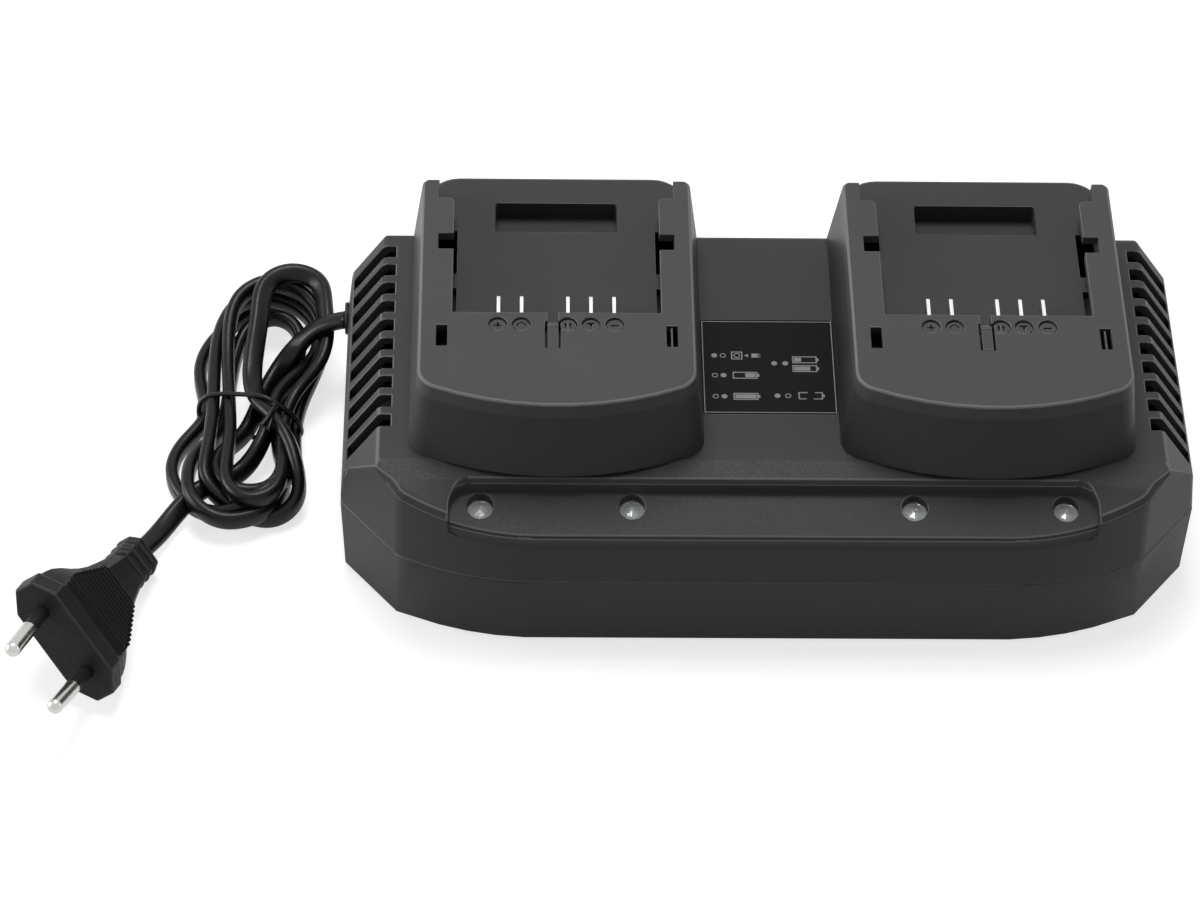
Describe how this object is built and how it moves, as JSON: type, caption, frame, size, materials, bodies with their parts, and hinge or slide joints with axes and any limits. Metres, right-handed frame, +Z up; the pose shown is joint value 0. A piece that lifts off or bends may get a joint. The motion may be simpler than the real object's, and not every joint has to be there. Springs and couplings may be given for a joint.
{
  "type": "power tool battery charger",
  "caption": "Flat charger with raised slide-on battery docks, contact blades, indicator lamps, side vents and a tied-up flat mains lead with a moulded plug.",
  "frame": {"origin": "on the resting surface, under the middle of the charger without its lead", "axes": "+X to the charger's right seen from the lamp side, +Y to the back where a battery pack slides on, +Z up"},
  "size_m": [0.2966, 0.1561, 0.0708],
  "materials": {
    "housing_plastic": "fine satin moulded texture",
    "dock_plastic": "fine satin moulded texture",
    "contact_metal": "bright plated",
    "moulded_black": "satin",
    "circuit_board": "solder mask",
    "wire_insulation": "satin",
    "label_film": "printed film",
    "clear_lens": "clear moulded",
    "diode_white": "gloss",
    "ribbon_insulation": "satin",
    "ferrite": "sintered",
    "winding_tape": "tape",
    "capacitor_sleeve": "shrink sleeve",
    "sink_aluminium": "extruded",
    "copper_wire": "enamelled",
    "fuse_glass": "clear",
    "connector_nylon": "satin",
    "foot_rubber": "matt",
    "screw_steel": "zinc plated",
    "lead_pvc": "semi-gloss",
    "tie_plastic": "satin",
    "plug_pvc": "satin",
    "pin_metal": "nickel plated",
    "sleeve_plastic": "satin"
  },
  "bodies": {
    "charger": {"lower_housing": "housing_plastic", "upper_housing": "housing_plastic", "left_dock": "dock_plastic", "right_dock": "dock_plastic", "left_contact_blades": "contact_metal", "right_contact_blades": "contact_metal", "left_terminal_block": "moulded_black", "right_terminal_block": "moulded_black", "left_contact_board": "circuit_board", "right_contact_board": "circuit_board", "left_output_wires": "wire_insulation", "right_output_wires": "wire_insulation", "label_panel": "label_film", "lamp_lenses": "clear_lens", "lamp_diodes": "diode_white", "lamp_board": "circuit_board", "lamp_ribbon": "ribbon_insulation", "main_board": "circuit_board", "transformer_cores": "ferrite", "transformer_windings": "winding_tape", "bulk_capacitors": "capacitor_sleeve", "output_capacitors": "capacitor_sleeve", "heat_sinks": "sink_aluminium", "power_transistors": "moulded_black", "bridge_rectifier": "moulded_black", "mains_choke": "copper_wire", "fuse": "fuse_glass", "control_chips": "moulded_black", "mains_connector": "connector_nylon", "output_connectors": "connector_nylon", "rubber_feet": "foot_rubber", "housing_screws": "screw_steel", "dock_screws": "screw_steel", "contact_board_screws": "screw_steel", "main_board_screws": "screw_steel", "lamp_board_screws": "screw_steel", "strain_relief": "lead_pvc", "inner_lead": "lead_pvc", "lead_clamp": "moulded_black", "lead_clamp_screws": "screw_steel", "lead_run": "lead_pvc", "lead_hank": "lead_pvc", "lead_tie": "tie_plastic", "lead_tail": "lead_pvc", "plug_body": "plug_pvc", "plug_pins": "pin_metal", "plug_sleeves": "sleeve_plastic"},
    "left_detent": {"left_tongue": "dock_plastic"},
    "right_detent": {"right_tongue": "dock_plastic"}
  },
  "joints": [
    {"name": "left_tongue_flex", "type": "hinge", "parent": "charger", "child": "left_detent", "pos_m": [-0.055, -0.0155, 0.069], "axis": [-1, 0, 0], "range_deg": [0, 5], "stiffness_Nm_per_rad": 0.05},
    {"name": "right_tongue_flex", "type": "hinge", "parent": "charger", "child": "right_detent", "pos_m": [0.053, -0.0155, 0.069], "axis": [-1, 0, 0], "range_deg": [0, 5], "stiffness_Nm_per_rad": 0.05}
  ]
}
